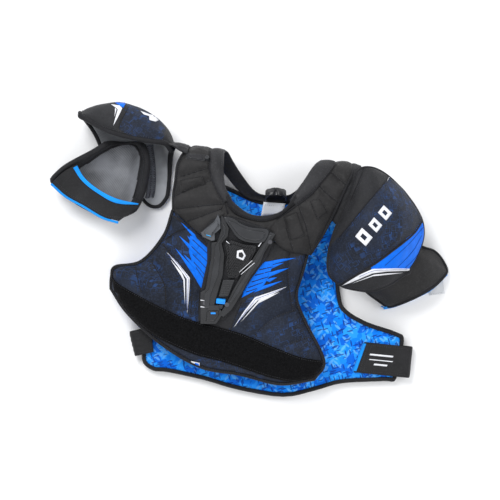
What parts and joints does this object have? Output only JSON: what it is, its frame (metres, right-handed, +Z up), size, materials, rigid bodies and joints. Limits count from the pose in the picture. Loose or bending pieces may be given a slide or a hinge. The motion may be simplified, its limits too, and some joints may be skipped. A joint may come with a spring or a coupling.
{
  "type": "hockey shoulder pads",
  "caption": "Ice hockey shoulder pads with a chest panel, a back panel, domed shoulder caps, arm guards and waist straps, laid out flat on their back.",
  "frame": {"origin": "on the back panel's flat resting face, between the shoulder blades' lower edge and the waist", "axes": "+X across the chest towards the wearer's left, +Y towards the neck, +Z up from the back panel to the chest"},
  "size_m": [0.7305, 0.5363, 0.142],
  "materials": {
    "shell_fabric": "navy and black textured mesh with a fine line print",
    "black_nylon": "matt black quilted nylon",
    "neoprene": "smooth satin neoprene",
    "binding": "black woven binding tape",
    "lining": "bright blue lining with an abstract patch print",
    "grey_tricot": "brushed grey tricot",
    "loop_pile": "black hook and loop pile",
    "elastic": "black woven elastic",
    "blue_elastic": "bright blue woven elastic",
    "label": "plain white woven label",
    "foam": "dark grey closed cell foam",
    "pe_plate": "black moulded polyethylene",
    "moulded_black": "satin black moulded plastic",
    "moulded_grey": "satin grey moulded plastic",
    "moulded_blue": "blue moulded plastic",
    "webbing": "glossy black webbing",
    "rivet_steel": "dark plated steel"
  },
  "bodies": {
    "back_panel": {"back_cover": "black_nylon", "back_foam": "foam", "spine_plate": "pe_plate", "back_liner": "lining", "back_binding": "binding", "back_collar": "neoprene", "hang_loop": "webbing", "neck_label": "label", "left_yoke_back": "black_nylon", "right_yoke_back": "black_nylon", "left_strap_base": "elastic", "right_strap_base": "elastic", "left_cap_tab": "webbing", "right_cap_tab": "webbing"},
    "front_panel": {"chest_cover": "shell_fabric", "left_chest_plate": "pe_plate", "right_chest_plate": "pe_plate", "chest_foam": "foam", "chest_liner": "lining", "chest_binding": "binding", "waist_loop_band": "loop_pile", "hem_tag": "label", "left_yoke_front": "black_nylon", "right_yoke_front": "black_nylon", "left_collar_front": "neoprene", "right_collar_front": "neoprene", "neck_binding": "binding", "shoulder_tab": "webbing", "sternum_frame": "moulded_black", "frame_rivets": "rivet_steel", "grey_insert": "moulded_grey", "collar_bar": "moulded_black", "sternum_pad": "moulded_black", "sternum_tongue": "moulded_black", "buckle_tab": "moulded_blue", "sternum_buckle": "moulded_black"},
    "left_cap": {"left_cap_cover": "shell_fabric", "left_cap_plate": "pe_plate", "left_cap_liner": "grey_tricot"},
    "right_cap": {"right_cap_cover": "shell_fabric", "right_cap_plate": "pe_plate", "right_cap_liner": "grey_tricot"},
    "left_guard": {"left_guard_cover": "black_nylon", "left_guard_plate": "pe_plate", "left_guard_liner": "grey_tricot", "left_sleeve": "black_nylon", "left_sleeve_elastic": "blue_elastic", "left_cuff_elastic": "blue_elastic"},
    "right_guard": {"right_guard_cover": "black_nylon", "right_guard_plate": "pe_plate", "right_guard_liner": "grey_tricot", "right_sleeve": "black_nylon", "right_cuff_elastic": "blue_elastic", "care_label": "label"},
    "left_strap": {"left_waist_strap": "elastic"},
    "right_strap": {"right_waist_strap": "elastic", "right_hook_patch": "loop_pile", "right_pull_tab": "blue_elastic"}
  },
  "joints": [
    {"name": "front_open", "type": "hinge", "parent": "back_panel", "child": "front_panel", "pos_m": [0, 0.193, 0.052], "axis": [-0.9945, 0.1045, 0], "range_deg": [0, 85]},
    {"name": "left_cap_lift", "type": "hinge", "parent": "back_panel", "child": "left_cap", "pos_m": [-0.163, 0.252, 0.094], "axis": [0.342, 0.9397, 0], "range_deg": [0, 40]},
    {"name": "right_cap_lift", "type": "hinge", "parent": "back_panel", "child": "right_cap", "pos_m": [0.141, 0.212, 0.095], "axis": [-0.26, -0.9656, 0], "range_deg": [0, 50]},
    {"name": "left_guard_swing", "type": "hinge", "parent": "left_cap", "child": "left_guard", "pos_m": [-0.275, 0.266, 0.058], "axis": [-1, 0, 0], "range_deg": [0, 35]},
    {"name": "right_guard_swing", "type": "hinge", "parent": "right_cap", "child": "right_guard", "pos_m": [0.18, 0.01, 0.07], "axis": [-0.96, -0.28, 0], "range_deg": [0, 18]},
    {"name": "left_strap_unfold", "type": "hinge", "parent": "back_panel", "child": "left_strap", "pos_m": [-0.254, -0.098, 0.013], "axis": [0.225, -0.9744, 0], "range_deg": [0, 153]},
    {"name": "right_strap_unfold", "type": "hinge", "parent": "back_panel", "child": "right_strap", "pos_m": [0.239, -0.133, 0.013], "axis": [0.1045, 0.9945, 0], "range_deg": [0, 160]}
  ],
  "couplings": [
    {"joint": "left_strap_unfold", "follows": "front_open", "ratio": 1.8}
  ]
}
